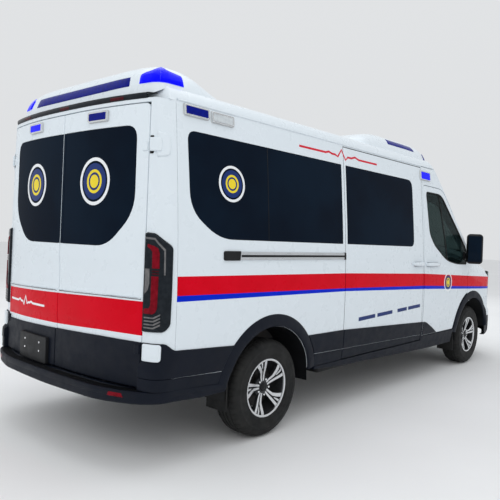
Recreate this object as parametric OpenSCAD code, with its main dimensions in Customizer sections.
/* [Body] */
// Half width of the painted skin at waist height
half_w = 1015; // [1005:1:1025]
// Thickness of walls and doors
wall_t = 56; // [45:1:60]
// Thickness of the window glass
glass_t = 5; // [4:0.5:6]
// Gap round the doors and the bonnet
gap = 6; // [5.5:0.5:7]
// Height of the load floor
floor_z = 690; // [680:1:700]

/* [Wheels] */
// Front axle position along the vehicle
front_x = 1967.5; // [1960:0.5:1975]
// Rear axle position along the vehicle
rear_x = -1782.5; // [-1790:0.5:-1775]
// Wheel centre plane from the middle of the vehicle
track_h = 866; // [860:1:870]
// Tyre outer radius
tyre_r = 353; // [350:1:356]
// Tyre section width
tyre_w = 232; // [225:1:238]
// Rim radius at the bead
rim_r = 203; // [200:1:206]
// Steering pivot from the middle of the vehicle
king_y = 742; // [738:1:746]

/* [Rear doors] */
// Edge of the rear doors from the middle
rdoor_y = 856; // [850:1:860]
// Rear door hinge line from the middle
rhinge_y = 958; // [956:1:960]
// Rear door hinge line along the vehicle
rhinge_x = -2824; // [-2826:1:-2823]

/* [Front doors] */
// Front door hinge line along the vehicle
fhinge_x = 1790; // [1788:1:1792]
// Front door hinge line from the middle
fhinge_y = 1017; // [1016:1:1020]

/* [Hidden] */
$fn = 48;

white = [0.86, 0.9, 0.93];
dark = [0.13, 0.15, 0.17];
glass = [0.03, 0.07, 0.11];

// ---- outline helpers ----
function unit2(v) = v / norm(v);
// rounds each corner whose third number is a length, along a quadratic curve
function rp(P, n = 4) = [for (i = [0:len(P) - 1])
  let (a = P[(i + len(P) - 1) % len(P)], b = P[i], c = P[(i + 1) % len(P)],
       B = [b[0], b[1]], L = b[2] == undef ? 0 : b[2],
       u = unit2([a[0], a[1]] - B), v = unit2([c[0], c[1]] - B))
  each (L == 0 ? [B] : [for (k = [0:n]) let (t = k / n)
    (B + u * L) * (1 - t) * (1 - t) + B * 2 * t * (1 - t) + (B + v * L) * t * t])];
function inset(P, d) = P;
function mir(P) = [for (i = [len(P) - 1:-1:0]) [-P[i][0], P[i][1]]];

// ---- body shape ----
// half width of the skin by height
SEC = [[320, 966], [420, 988], [560, 1006], [745, 1013], [900, half_w], [1100, 1013], [1250, 1008],
  [1410, 1001], [1600, 989], [1750, 977], [1925, 963], [2098, 948], [2268, 930]];
function sy(z) = lookup(z, SEC);
// roof half section from the gutter to the crown
ROOF = [[930, 2268], [924, 2298], [908, 2330], [874, 2362], [800, 2383], [650, 2409], [450, 2434], [225, 2452], [0, 2458]];
// rear face seen from above
function xr(y) = -2895 + 55 * pow(abs(y) / 764, 2.5);
REAR = concat([for (y = [0, 120, 240, 360, 480, 600, 700, 780, 850, 905]) [xr(y), y]],
  [for (k = [1:6]) let (t = k / 6, a = [xr(905), 905], b = [-2797, 1008], c = [-2690, half_w])
    a * (1 - t) * (1 - t) + b * 2 * t * (1 - t) + c * t * t]);
REAR_IN = concat([for (y = [0, 120, 240, 360, 480, 600, 700, 780, 850]) [xr(y) + wall_t, y]],
  [for (k = [1:6]) let (t = k / 6, a = [xr(850) + wall_t, 850], b = [-2752, 958], c = [-2690, half_w - wall_t])
    a * (1 - t) * (1 - t) + b * 2 * t * (1 - t) + c * t * t]);
// nose half width seen from above
NOSE = [[1650, half_w], [1967, half_w], [2300, 1006], [2500, 988], [2650, 952], [2760, 898], [2850, 812], [2910, 690],
  [2948, 450], [2966, 225], [2971, 0]];
function nose_x(y) = lookup(-abs(y), [for (p = [[0, 2971], [225, 2966], [450, 2948], [690, 2910], [812, 2850], [898, 2760],
  [952, 2650], [988, 2500], [1006, 2300], [1015, 1967]]) [-p[0], p[1]]]);
// windscreen surface: slope angle and distance along its normal by half width
ws_a = 40.7;
WS = [[0, 2505], [200, 2503], [400, 2493], [550, 2475], [700, 2441], [800, 2409], [870, 2377], [925, 2340],
  [950, 2314], [975, 2270], [1000, 2205], [1030, 2080]];
// bonnet surface: slope angle and distance along its normal by half width
bn_a = 18.6;
BN = [[0, 2040], [300, 2036], [500, 2027], [650, 2012], [760, 1990], [850, 1954], [910, 1906], [950, 1846], [980, 1760], [1020, 1600]];
// front profile of the nose
NFACE = [[1500, 2400], [2700, 2400], [2850, 1225], [2905, 1175], [2935, 1110], [2955, 980], [2966, 800], [2971, 620], [2960, 300], [1500, 300]];

// prism along X from a polygon of [y, z]
module yz_prism(P, x0, x1) translate([x0, 0, 0]) rotate([90, 0, 90]) linear_extrude(height = x1 - x0) polygon(P);
// prism along Y from a polygon of [x, z]
module xz_prism(P, y0, y1) translate([0, y1, 0]) rotate([90, 0, 0]) linear_extrude(height = y1 - y0) polygon(P);
// prism along Z from a polygon of [x, y]
module xy_prism(P, z0, z1) translate([0, 0, z0]) linear_extrude(height = z1 - z0) polygon(P);
module blk(x0, x1, y0, y1, z0, z1) translate([x0, y0, z0]) cube([x1 - x0, y1 - y0, z1 - z0]);
module both() { children(); mirror([0, 1, 0]) children(); }

// wall on the left side, by height range and depth below the skin
module side_band(x0, x1, z0, z1, d0, d1) {
  zs = concat([z0], [for (p = SEC) if (p[0] > z0 + 1 && p[0] < z1 - 1) p[0]], [z1]);
  yz_prism(concat([for (z = zs) [sy(z) - d0, z]], [for (i = [len(zs) - 1:-1:0]) [sy(zs[i]) - d1, zs[i]]]), x0, x1);
}
// cross section of the whole body, inset by d
function sec_in(d) = concat([for (p = SEC) [p[1] - d, p[0]]],
  [for (p = ROOF) if (p[0] < 929) [max(p[0] - d, 0), p[1] - d]]);
module sec_prism(d, x0, x1) { P = sec_in(d); yz_prism(concat(P, [for (i = [len(P) - 2:-1:0]) [-P[i][0], P[i][1]]]), x0, x1); }
module ws_prism(d) rotate([0, ws_a, 0]) translate([-4400, 0, 0]) rotate([90, 0, 90]) linear_extrude(height = 6800)
  polygon(concat([[0 - 1030 + d, -2500]], [for (i = [len(WS) - 1:-1:1]) [-WS[i][0] + d, WS[i][1] - d]], [for (p = WS) [max(p[0] - (p[0] > 1 ? d : 0), 0), p[1] - d]], [[1030 - d, -2500]]));
module bn_prism(d) rotate([0, bn_a, 0]) translate([-2600, 0, 0]) rotate([90, 0, 90]) linear_extrude(height = 6600)
  polygon(concat([[-1020 + d, 0]], [for (i = [len(BN) - 1:-1:1]) [-BN[i][0] + d, BN[i][1] - d]], [for (p = BN) [max(p[0] - (p[0] > 1 ? d : 0), 0), p[1] - d]], [[1020 - d, 0]]));
module nose_plan(d, z0, z1) xy_prism(concat([for (p = NOSE) [p[0] - (p[0] > 1651 ? d : 0), p[1] > 1 ? p[1] - d : 0]],
  [for (i = [len(NOSE) - 2:-1:0]) [NOSE[i][0] - (NOSE[i][0] > 1651 ? d : 0), -NOSE[i][1] + d]]), z0, z1);
module nose_face(d) xz_prism([for (p = NFACE) [p[0] - (p[0] > 1501 ? d : 0), p[1] - (p[1] > 700 ? d : 0)]], -1100, 1100);
module nose(d) intersection() { nose_plan(d, 320, 2000); bn_prism(d); nose_face(d); sec_prism(d, 1651, 3000); }
// outline cut square to the windscreen, s down the slope and y across
module ws_cut(P, n0, n1) rotate([0, ws_a, 0]) translate([0, 0, n0]) linear_extrude(height = n1 - n0) polygon(P);

// ---- outlines seen from the side ----
FWIN = rp([[700, 2012, 50], [1090, 2010, 100], [1330, 1790, 120], [1545, 1597, 60], [1745, 1408, 40], [1752, 1222, 30], [1480, 1226, 90], [1180, 1268, 120], [870, 1436, 60], [756, 1560, 60]]);
FDOOR_U = [[632, 480], [632, 2074, 50], [1130, 2066, 120], [1362, 1826, 120], [1577, 1629, 60], [1790, 1428]];
arch_r = 560;
FDOOR = concat(rp(FDOOR_U), [for (k = [0:7]) let (a = 108.5 + k * (163 - 108.5) / 7) [front_x + arch_r * cos(a), tyre_r + arch_r * sin(a)]], [[front_x + arch_r * cos(168), 480]]);
function grow(P, g) = let (n = len(P)) [for (i = [0:n - 1]) let (a = P[(i + n - 1) % n], b = P[i], c = P[(i + 1) % n],
  u = unit2(b - a), v = unit2(c - b), m = [-(u[1] + v[1]), u[0] + v[0]], q = norm(m) < 0.01 ? [0, 0] : unit2(m)) b + q * g / max(0.5, abs(q * [-u[1], u[0]]))];
WIN_R = rp([[-2605, 2100, 70], [-905, 2098, 8], [-905, 1421, 8], [-2345, 1425, 130], [-2590, 1600, 120]]);
WIN_S = rp([[-840, 2098, 8], [388, 2096, 90], [392, 1417, 70], [-840, 1421, 8]]);
WIN_LF = rp([[-840, 2098, 8], [388, 2096, 90], [392, 1417, 70], [-840, 1421, 8]]);
RWIN = rp([[28, 1356, 8], [527, 1356, 110], [762, 1570, 130], [758, 2107, 90], [28, 2107, 8]]);
// wheel opening seen from the side
module arch_cut(x, r, y0, y1) translate([x, y1, tyre_r]) rotate([90, 0, 0]) cylinder(r = r, h = y1 - y0, $fn = 64);

// ---- root: shell ----
module floor_pan() color(dark) difference() {
  union() {
    blk(-2736, 1500, -930, 930, floor_z - 40, floor_z);
    blk(1500, 2060, -510, 510, floor_z - 40, floor_z);
    both() blk(-2740, 2560, 400, 470, 560, floor_z - 20);
    both() blk(-2290, -1290, 700, 938, floor_z - 30, 930);
    for (x = [-2700, -1200, -600, 0, 600, 1300]) blk(x, x + 60, -930, 930, 590, floor_z - 20);
  }
  both() blk(-2270, -1310, 716, 990, 300, 914);
}
module side_shell(slide) difference() {
  union() {
    side_band(-2688, 620, 440, 2267, 0, wall_t);
  }
  xz_prism(WIN_R, 800, 1100);
  if (slide) blk(-872, 600, 800, 1100, 430, 2258);
  else xz_prism(WIN_LF, 800, 1100);
  blk(-2700, -2236, 800, 1100, 430, 510);
  arch_cut(rear_x, 452, 800, 1100);
  blk(rear_x - 452, rear_x + 452, 800, 1100, 380, 445);
}
module body_side_left() color(white) side_shell(false);
module body_side_right() color(white) mirror([0, 1, 0]) side_shell(true);
module sliding_door() color(white) mirror([0, 1, 0]) difference() {
  side_band(-866, 594, 446, 2252, 0, wall_t);
  xz_prism(WIN_S, 800, 1100);
}
module pane(P, d0, d1) intersection() { side_band(-2700, 1900, 1180, 2120, d0, d1); xz_prism(P, 800, 1100); }
module side_windows() color(glass) {
  both() pane(grow(WIN_R, -0.6), 1, 1 + glass_t);
  pane(grow(WIN_LF, -0.6), 1, 1 + glass_t);
  mirror([0, 1, 0]) pane(grow(WIN_S, -0.6), 1, 1 + glass_t);
}
module roof_profile(d) xz_prism(concat([[-2800 + d, 2200], [-2820 + d, 2300], [-2790 + d, 2370 - d], [-2720, 2430 - d], [-2600, 2462 - d]], [[500, 2462 - d], [800, 2446 - d], [1000, 2400 - d], [1250, 2268 - d], [1250, 2200]]), -1100, 1100);
module roof_solid(d) intersection() { sec_prism(d, -2830, 1300); roof_profile(d); ws_prism(d); blk(-2830, 1300, -1000, 1000, d > 1 ? 2200 : 2268, 2500); }
module roof_panel() color(white) difference() {
  roof_solid(0);
  roof_solid(45);
}
module rear_plan(P) polygon(concat([for (i = [0:len(P) - 1]) [P[i][0], P[i][1]]], [for (i = [len(P) - 1:-1:1]) [P[i][0], -P[i][1]]]));
module rear_band(z0, z1, d = 0, t = wall_t) intersection() {
  translate([0, 0, z0]) linear_extrude(height = z1 - z0) difference() { translate([d, 0]) rear_plan(REAR); translate([d + t - wall_t, 0]) rear_plan(concat(REAR_IN, [[-2600, half_w - wall_t]])); }
  sec_prism(0, -2900, -2689);
}
module lamp_shape(g) mirror([0, 1, 0]) xz_prism([[0, 0], [1, 0], [0, 1]], 0, 1);
// tail lamp pocket in the corner pillar
module lamp_zone(g) blk(-2870, -2728 + g, rdoor_y + 8 - g, 1060, 862 - g, 1447 + g);
module rear_frame() color(white) difference() {
  union() {
    rear_band(510, 2267);
    both() for (z = [761, 1984]) {
      translate([rhinge_x, rhinge_y, z]) cylinder(r = 11, h = 20);
      blk(rhinge_x, -2782, rhinge_y - 8, rhinge_y + 9, z, z + 20);
    }
  }
  blk(-2950, -2740, -rdoor_y - gap, rdoor_y + gap, 500, 2242);
  both() lamp_zone(1);
}
module tail_lamps() color([0.25, 0.02, 0.04]) both() intersection() { rear_band(862, 1447, 0, 40); lamp_zone(-0.5); }
module cab_frame() color(white) difference() {
  union() {
    difference() {
      intersection() { sec_prism(0, 621, 2330); ws_prism(0); blk(621, 2230, -1100, 1100, 1262, 2267.5); }
      intersection() { sec_prism(wall_t, 500, 2400); ws_prism(wall_t); }
    }
    blk(2040, 2070, -930, 930, 760, 1120);
    blk(2040, 2070, -775, 775, 1110, 1300);
    blk(2040, 2070, -500, 500, floor_z, 761);
    blk(2060, 2200, -770, 770, 1240, 1296);
  }
  xz_prism(grow(FDOOR, gap), -1100, 1100);
  ws_cut(WSO(0), 2200, 2600);
}
function WSO(g) = rp([[-228 - g, -770 - g, 70], [-240 - g, 0], [-228 - g, 770 + g, 70], [700 + g, 880 + g, 70], [712 + g, 0], [700 + g, -880 - g, 70]]);
module windscreen() color(glass) intersection() {
  difference() { ws_prism(2); ws_prism(2 + glass_t); }
  ws_cut(WSO(-1), 2250, 2560);
}
module nose_panel(t) difference() { nose(0); nose(t); }
// bonnet outline from above
BON = [[2236, -700], [2700, -655], [2980, -625], [2980, 625], [2700, 655], [2236, 700]];
module front_wings() color(white) difference() {
  nose_panel(40);
  blk(1600, 1796, -1100, 1100, 300, 2000);
  blk(1700, 3000, -1100, 1100, 300, 800);
  xz_prism(grow(FDOOR, gap), -1100, 1100);
  both() arch_cut(front_x, 545, 600, 1100);
  xy_prism(grow([for (i = [len(BON) - 1:-1:0]) BON[i]], gap), 1060, 2000);
  both() xy_prism([[2500, 380], [3000, 380], [3000, 1100], [2640, 1100]], 790, 1132);
  blk(2500, 3000, -430, 430, 790, 1132);
  intersection() { ws_prism(-1.5); blk(1600, 2600, -1100, 1100, 1260, 2100); }
}
module bonnet() color(white) intersection() {
  nose_panel(36);
  xy_prism(BON, 1140, 2000);
}
module grille() color(dark) difference() {
  intersection() { nose_panel(45); blk(2700, 3000, -415, 415, 800, 1128); }
  for (z = [850:50:1080]) blk(2700, 3100, -360, 360, z, z + 22);
}
module headlamps() color([0.75, 0.8, 0.85]) both() intersection() {
  difference() { nose(3); nose(60); }
  xy_prism([[2600, 425], [3000, 425], [3000, 1100], [2655, 1100], [2625, 900]], 802, 1126);
}
module front_bumper() color(dark) difference() {
  union() {
    intersection() { difference() { nose_plan(0, 300, 796); nose_plan(70, 250, 900); } blk(2425, 3000, -1100, 1100, 300, 796); }
    intersection() { translate([19.5, 0, 0]) nose_plan(0, 330, 620); blk(2640, 3010, -1100, 1100, 330, 620); }
  }
  both() arch_cut(front_x, 470, 500, 1100);
  blk(2300, 2880, -600, 600, 200, 900);
  blk(2850, 3100, -400, 400, 420, 560);
  translate([2895, -520, 700]) rotate([0, 90, 0]) cylinder(d = 24, h = 120);
}
BUMP = [[-2990.5, 0], [-2984, -560], [-2940, -800, 100], [-2850, -985, 80], [-2700, -1008, 50], [-2240, -1008]];
BUMP_IN = [[-2240, -962], [-2700, -950], [-2790, -880], [-2850, -300]];
function flip(P) = [for (i = [len(P) - 1:-1:0]) if (P[i][1] != 0) [P[i][0], -P[i][1]]];
function bump(d) = let (a = [for (p = rp(BUMP)) [p[0] + (p[0] < -2240 ? d : 0), p[1] + (p[1] < -900 ? d : 0)]]) concat(a, BUMP_IN, flip(BUMP_IN), flip(a));
module rear_bumper() color(dark) difference() {
  union() {
    xy_prism(bump(0), 438, 504);
    xy_prism(bump(14), 412, 439);
  }
  // towing eye socket
  translate([-3000, -450, 471]) rotate([0, 90, 0]) cylinder(d = 24, h = 60);
}
module side_sills() color(dark) {
  both() difference() {
    side_band(-1240, 1440, 322, 434, -6, 90);
    xz_prism([[-1300, 300], [1000, 300], [1000, 321], [851, 323], [-872, 382], [-1300, 405]], 800, 1100);
  }
  // arch trims
  both() difference() {
    arch_cut(rear_x, 545, half_w + 0.5, half_w + 14.5);
    arch_cut(rear_x, 453, 900, 1100);
    blk(-2600, -1000, 900, 1100, -300, 440);
  }
  both() difference() {
    arch_cut(front_x, 543, half_w + 0.5, half_w + 14.5);
    arch_cut(front_x, 455, 900, 1100);
    blk(1300, 2700, 900, 1100, -300, 440);
    blk(2420, 2700, 900, 1100, -300, 800);
  }
  // mud flaps
  both() blk(-2216, -2204, 790, 985, 268, 478);
  both() blk(1470, 1482, 790, 990, 218, 440);
}
module sliding_rail() color([0.7, 0.72, 0.74]) mirror([0, 1, 0]) difference() {
  side_band(-2307, -874, 1286, 1350, -12, -0.5);
  side_band(-2200, -874, 1306, 1330, -13, -5);
}
// ---- light pods ----
RP_S = [[-2800, 2352], [-2808, 2380], [-2768, 2490], [-2700, 2534], [-2600, 2536], [-2450, 2488], [-2330, 2428], [-2235, 2368], [-2235, 2300], [-2770, 2300]];
FP_S = [[-560, 2330], [-560, 2425], [-400, 2455], [-200, 2503], [50, 2546], [400, 2560], [700, 2544], [950, 2498], [1105, 2415], [1150, 2335], [1000, 2290]];
POD_Y = [[882, 2300], [880, 2360], [868, 2420], [838, 2480], [790, 2512], [700, 2532], [500, 2556], [250, 2570], [0, 2574]];
module pod_sec(x0, x1, d, dy = 0) { P = [for (p = POD_Y) [max(0, p[0] - d - dy), p[1] - d]]; yz_prism(concat(P, [for (i = [len(P) - 2:-1:0]) [-P[i][0], P[i][1]]]), x0, x1); }
module rear_pod_plan(d) xy_prism([[-2822 + d, -500], [-2806 + d, -700], [-2782 + d, -838 + d], [-2740 + d, -868 + d], [-2560, -882 + d], [-2240 - d, -860 + d], [-2240 - d, 860 - d], [-2560, 882 - d], [-2740 + d, 868 - d], [-2782 + d, 838 - d], [-2806 + d, 700], [-2822 + d, 500]], 2290, 2600);
module front_pod_plan(d) xy_prism([[-560 + d, -700], [-400, -860 + d], [400, -875 + d], [760, -862 + d], [985, -800 + d], [1110, -560], [1150 - d, -200], [1150 - d, 200], [1110, 560], [985, 800 - d], [760, 862 - d], [400, 875 - d], [-400, 860 - d], [-560 + d, 700]], 2280, 2600);
module pod_solid_r(d) intersection() { pod_sec(-2830, -2200, d); xz_prism([for (p = RP_S) [p[0] + (p[0] < -2700 ? d : -d), p[1] - d]], -900, 900); rear_pod_plan(d); }
module pod_solid_f(d) intersection() { pod_sec(-600, 1200, d); xz_prism([for (p = FP_S) [p[0] + (p[0] < 0 ? d : -d), p[1] - d]], -900, 900); front_pod_plan(d); }
module lens_zone_r() { blk(-2900, -2600, 690, 900, 2385, 2482); blk(-2900, -2770, -590, 590, 2404, 2470); mirror([0, 1, 0]) blk(-2900, -2600, 690, 900, 2385, 2482); }
module lens_zone_f() { both() blk(40, 640, 780, 900, 2440, 2478); both() xy_prism([[820, 600], [1200, 300], [1200, 900], [820, 900]], 2372, 2416); }
module light_pods() color(white) difference() {
  union() {
    difference() { pod_solid_r(0); pod_solid_r(12); lens_zone_r(); }
    difference() { pod_solid_f(0); pod_solid_f(12); lens_zone_f(); }
  }
  translate([0, 0, 0.5]) intersection() { sec_prism(0, -2830, 1300); roof_profile(0); blk(-2830, 1300, -1000, 1000, 2200, 2500); }
}
module beacon_lenses() color([0.05, 0.08, 0.9]) difference() {
  union() {
    intersection() { difference() { pod_solid_r(0); pod_solid_r(11); } lens_zone_r(); }
    both() yz_prism([[837.5, 2477.5], [857.5, 2440.5], [847, 2440.5], [827, 2477.5]], 48, 632);
    both() intersection() {
      xy_prism([[1109, -560], [1109, 560], [984, 799], [970, 792], [1094, 560], [1094, -560]], 2373, 2415);
      xy_prism([[820, 600], [1200, 300], [1200, 900], [820, 900]], 2372, 2500);
    }
  }
}

// ---- doors ----
module front_door() difference() {
  intersection() {
    side_band(600, 1850, 470, 2090, 0, 60);
    xz_prism(FDOOR, 800, 1100);
  }
  xz_prism(FWIN, 800, 1100);
}
module front_door_left() color(white) front_door();
module front_door_right() color(white) mirror([0, 1, 0]) front_door();
module front_glass() pane(grow(FWIN, -0.6), 4, 4 + glass_t);
module front_glass_left() color(glass) front_glass();
module front_glass_right() color(glass) mirror([0, 1, 0]) front_glass();
module mirror_body() {
  // arm from the door's front corner
  translate([1700, 1004, 1330]) rotate([-90, 0, 0]) linear_extrude(height = 60) polygon([[-45, -40], [35, -34], [35, 34], [-45, 40]]);
  translate([1690, 1125, 1232]) rotate([0, 0, -24]) linear_extrude(height = 360) polygon(rp([[-60, -96, 40], [45, -80, 45], [62, 0], [45, 80, 45], [-60, 96, 40]]));
}
module mirror_left() color(dark) mirror_body();
module mirror_right() color(dark) mirror([0, 1, 0]) mirror_body();
module rear_door(plate) {
  difference() {
    intersection() { rear_band(518, 2236); blk(-2950, -2700, 3, rdoor_y, 500, 2300); }
    translate([-3000, 0, 0]) rotate([90, 0, 90]) linear_extrude(height = 400) polygon(RWIN);
    // plate fixing holes
    if (plate) for (y = [175, 395], z = [592, 652]) translate([-2950, y, z]) rotate([0, 90, 0]) cylinder(d = 7, h = 400);
  }
  // hinge straps
  for (z = [715, 1938]) {
    blk(rhinge_x - 18, rhinge_x - 3, rdoor_y - 26, rhinge_y - 12, z, z + 66);
    blk(rhinge_x - 14, rhinge_x + 6, rhinge_y - 14, rhinge_y, z, z + 44);
    translate([rhinge_x, rhinge_y, z]) cylinder(r = 11, h = 44);
  }
}
module rear_door_left() color(white) rear_door(true);
module rear_door_right() color(white) mirror([0, 1, 0]) rear_door(false);
module rear_glass() intersection() {
  rear_band(1300, 2150, 2, glass_t);
  translate([-3000, 0, 0]) rotate([90, 0, 90]) linear_extrude(height = 400) polygon(grow(RWIN, 0.6));
}
module rear_glass_left() color(glass) rear_glass();
module rear_glass_right() color(glass) mirror([0, 1, 0]) rear_glass();

// ---- running gear ----
module wheel_at(x, y, side) translate([x, y, tyre_r]) rotate([side > 0 ? -90 : 90, 0, 0]) children();
// tyre turned about its axle; local Z points outboard
module tyre() color([0.05, 0.05, 0.055]) rotate_extrude($fn = 96) polygon([[rim_r + 1, -tyre_w / 2 + 26], [rim_r + 22, -tyre_w / 2 + 8], [rim_r + 70, -tyre_w / 2], [tyre_r - 36, -tyre_w / 2 + 10], [tyre_r - 8, -tyre_w / 2 + 30],
  [tyre_r, -tyre_w / 2 + 52], [tyre_r, tyre_w / 2 - 52], [tyre_r - 8, tyre_w / 2 - 30], [tyre_r - 36, tyre_w / 2 - 10], [rim_r + 70, tyre_w / 2], [rim_r + 22, tyre_w / 2 - 8], [rim_r + 1, tyre_w / 2 - 26]]);
module spoke() translate([0, 0, 62]) for (s = [-1, 1]) linear_extrude(height = 20) polygon([[40, s * 2], [40, s * 26], [190, s * 46], [190, s * 18]]);
module rim() color([0.72, 0.74, 0.77]) {
  difference() {
    union() {
      rotate_extrude($fn = 96) polygon([[rim_r - 14, -88], [rim_r + 0.5, -88], [rim_r + 0.5, 91], [rim_r + 8, 98.5], [rim_r + 8, 103], [rim_r - 8, 103], [rim_r - 14, 88]]);
      translate([0, 0, 50]) cylinder(r = 78, h = 36);
      translate([0, 0, 50]) difference() { cylinder(r = rim_r - 8, h = 8, $fn = 96); for (i = [0:4]) rotate(i * 72 + 36) translate([140, 0, -1]) cylinder(r = 34, h = 12); }
      for (i = [0:4]) rotate(i * 72) spoke();
    }
    for (i = [0:4]) rotate(i * 72 + 36) translate([57, 0, 66]) cylinder(d = 22, h = 40);
    translate([0, 0, 40]) cylinder(r = 33, h = 30);
  }
}
module rim_front_left() wheel_at(front_x, track_h, 1) rim();
module rim_front_right() wheel_at(front_x, -track_h, -1) rim();
module rim_rear_left() wheel_at(rear_x, track_h, 1) rim();
module rim_rear_right() wheel_at(rear_x, -track_h, -1) rim();
module tyre_front_left() wheel_at(front_x, track_h, 1) tyre();
module tyre_front_right() wheel_at(front_x, -track_h, -1) tyre();
module tyre_rear_left() wheel_at(rear_x, track_h, 1) tyre();
module tyre_rear_right() wheel_at(rear_x, -track_h, -1) tyre();
module knuckle() {
  // hub spindle, brake disc and upright on the steering pivot
  translate([front_x, king_y + 30, tyre_r]) rotate([-90, 0, 0]) cylinder(r = 30, h = track_h + 45 - king_y - 30);
  translate([front_x, 838, tyre_r]) rotate([-90, 0, 0]) cylinder(r = 150, h = 24, $fn = 64);
  translate([front_x, king_y, tyre_r - 110]) cylinder(r = 32, h = 220);
  blk(front_x - 30, front_x + 30, king_y, king_y + 60, tyre_r - 60, tyre_r + 60);
  blk(front_x - 150, front_x, king_y - 20, king_y + 20, tyre_r - 40, tyre_r - 10);
}
module knuckle_left() color([0.45, 0.46, 0.48]) knuckle();
module knuckle_right() color([0.45, 0.46, 0.48]) mirror([0, 1, 0]) knuckle();
module front_crossmember() color([0.2, 0.2, 0.22]) {
  blk(1880, 2060, -440, 440, 250, 330);
  both() difference() {
    // lower arm, strut tower and pin
    union() {
      translate([0, 0, 222]) linear_extrude(height = 18) polygon([[1880, 430], [2060, 430], [2000, 775], [1935, 775]]);
      blk(1880, 2060, 380, 440, 222, 260);
      blk(1937, 1998, 600, 640, 468, 650);
      blk(1937, 1998, 470, 640, 620, 650);
      blk(1937, 1998, 600, 775, 468, 486);
      blk(1937, 1998, 410, 468, 330, 560);
    }
    translate([front_x, king_y, 200]) cylinder(r = 13, h = 320);
  }
}
module rear_axle() color([0.15, 0.15, 0.16]) {
  translate([rear_x, -track_h - 45, tyre_r]) rotate([-90, 0, 0]) cylinder(r = 30, h = 2 * track_h + 90);
  translate([rear_x, -track_h + 60, tyre_r]) rotate([-90, 0, 0]) cylinder(r = 46, h = 2 * track_h - 120);
  translate([rear_x, 0, tyre_r]) sphere(r = 150, $fn = 48);
  both() translate([rear_x, 838, tyre_r]) rotate([-90, 0, 0]) cylinder(r = 150, h = 24, $fn = 64);
  // drive shaft
  translate([rear_x + 120, 0, tyre_r + 20]) rotate([0, 86.5, 0]) cylinder(r = 38, h = 2600);
}
module leaf_springs() color([0.1, 0.1, 0.11]) both() difference() {
  union() {
    xz_prism([[-2460, 500], [-2440, 530], [-1782, 425], [-1120, 530], [-1100, 500], [-1782, 399.5]], 530, 600);
    blk(-2480, -2430, 540, 590, 490, 600);
    blk(-1130, -1080, 540, 590, 490, 600);
    blk(-2480, -2430, 440, 590, 590, 640);
    blk(-1130, -1080, 440, 590, 590, 640);
  }
  blk(-2600, -1000, 399, 470.5, 300, 700);
}
module fuel_tank() color([0.1, 0.1, 0.11]) blk(-1060, -160, -880, -490, 330, 580);
module exhaust_pipe() color([0.4, 0.38, 0.36]) {
  translate([300, 260, 430]) rotate([0, 90, 0]) cylinder(r = 32, h = 1300);
  translate([-480, 260, 430]) rotate([0, 90, 0]) cylinder(r = 95, h = 800);
  translate([-1240, 260, 430]) rotate([0, 90, 0]) cylinder(r = 32, h = 780);
}
module engine_block() color([0.3, 0.3, 0.32]) blk(2090, 2620, -300, 300, 480, 1080);

// ---- inside ----
module seat(y) {
  translate([0, y, 0]) {
    blk(880, 1360, -240, 240, 930, 1060);
    translate([900, -230, 1062]) rotate([0, -14, 0]) blk(-60, 60, 0, 460, 0, 560);
    translate([762, -130, 1632]) rotate([0, -10, 0]) blk(-45, 45, 0, 260, 0, 180);
    blk(930, 1310, -180, 180, floor_z, 928);
  }
}
module front_seats() color([0.2, 0.22, 0.25]) { seat(480); seat(-480); }
module dashboard() color([0.14, 0.15, 0.16]) {
  xz_prism([[1700, 1010], [1640, 1180], [1700, 1300], [2036, 1238], [2036, 980], [1800, 950]], -870, 870);
}
module cab_partition() color([0.7, 0.72, 0.74]) difference() {
  blk(560, 590, -860, 860, floor_z + 1, 2240);
  blk(550, 600, -400, 400, 1400, 1900);
}
module stretcher() color([0.85, 0.6, 0.1]) {
  blk(-2560, -560, -60, 520, 1010, 1110);
  blk(-2500, -620, -10, 40, floor_z + 1, 1009.9);
  blk(-2500, -620, 420, 470, floor_z + 1, 1009.9);
}
module side_bench() color([0.2, 0.3, 0.55]) {
  blk(-2220, -420, -840, -400, 940, 1150);
  blk(-1250, -420, -830, -400, floor_z + 1, 939.9);
}
module steering_wheel() color(dark) translate([1610, 480, 1345]) rotate([0, -58, 0]) {
  rotate_extrude($fn = 48) translate([180, 0]) circle(r = 16, $fn = 24);
  cylinder(r = 55, h = 30, center = true);
  for (a = [0, 120, 240]) rotate(a) translate([40, -14, -8]) cube([130, 28, 16]);
  translate([0, 0, -60]) cylinder(r = 20, h = 60);
}

floor_pan();
body_side_left();
body_side_right();
sliding_door();
side_windows();
roof_panel();
rear_frame();
cab_frame();
front_wings();
windscreen();
bonnet();
grille();
headlamps();
front_bumper();
rear_bumper();
side_sills();
sliding_rail();
tail_lamps();
light_pods();
beacon_lenses();
front_door_left();
front_door_right();
front_glass_left();
front_glass_right();
mirror_left();
mirror_right();
rear_door_left();
rear_door_right();
rear_glass_left();
rear_glass_right();
engine_block();
front_crossmember();
rear_axle();
leaf_springs();
fuel_tank();
exhaust_pipe();
front_seats();
dashboard();
cab_partition();
stretcher();
side_bench();
steering_wheel();
knuckle_left();
knuckle_right();
rim_front_left();
rim_front_right();
rim_rear_left();
rim_rear_right();
tyre_front_left();
tyre_front_right();
tyre_rear_left();
tyre_rear_right();
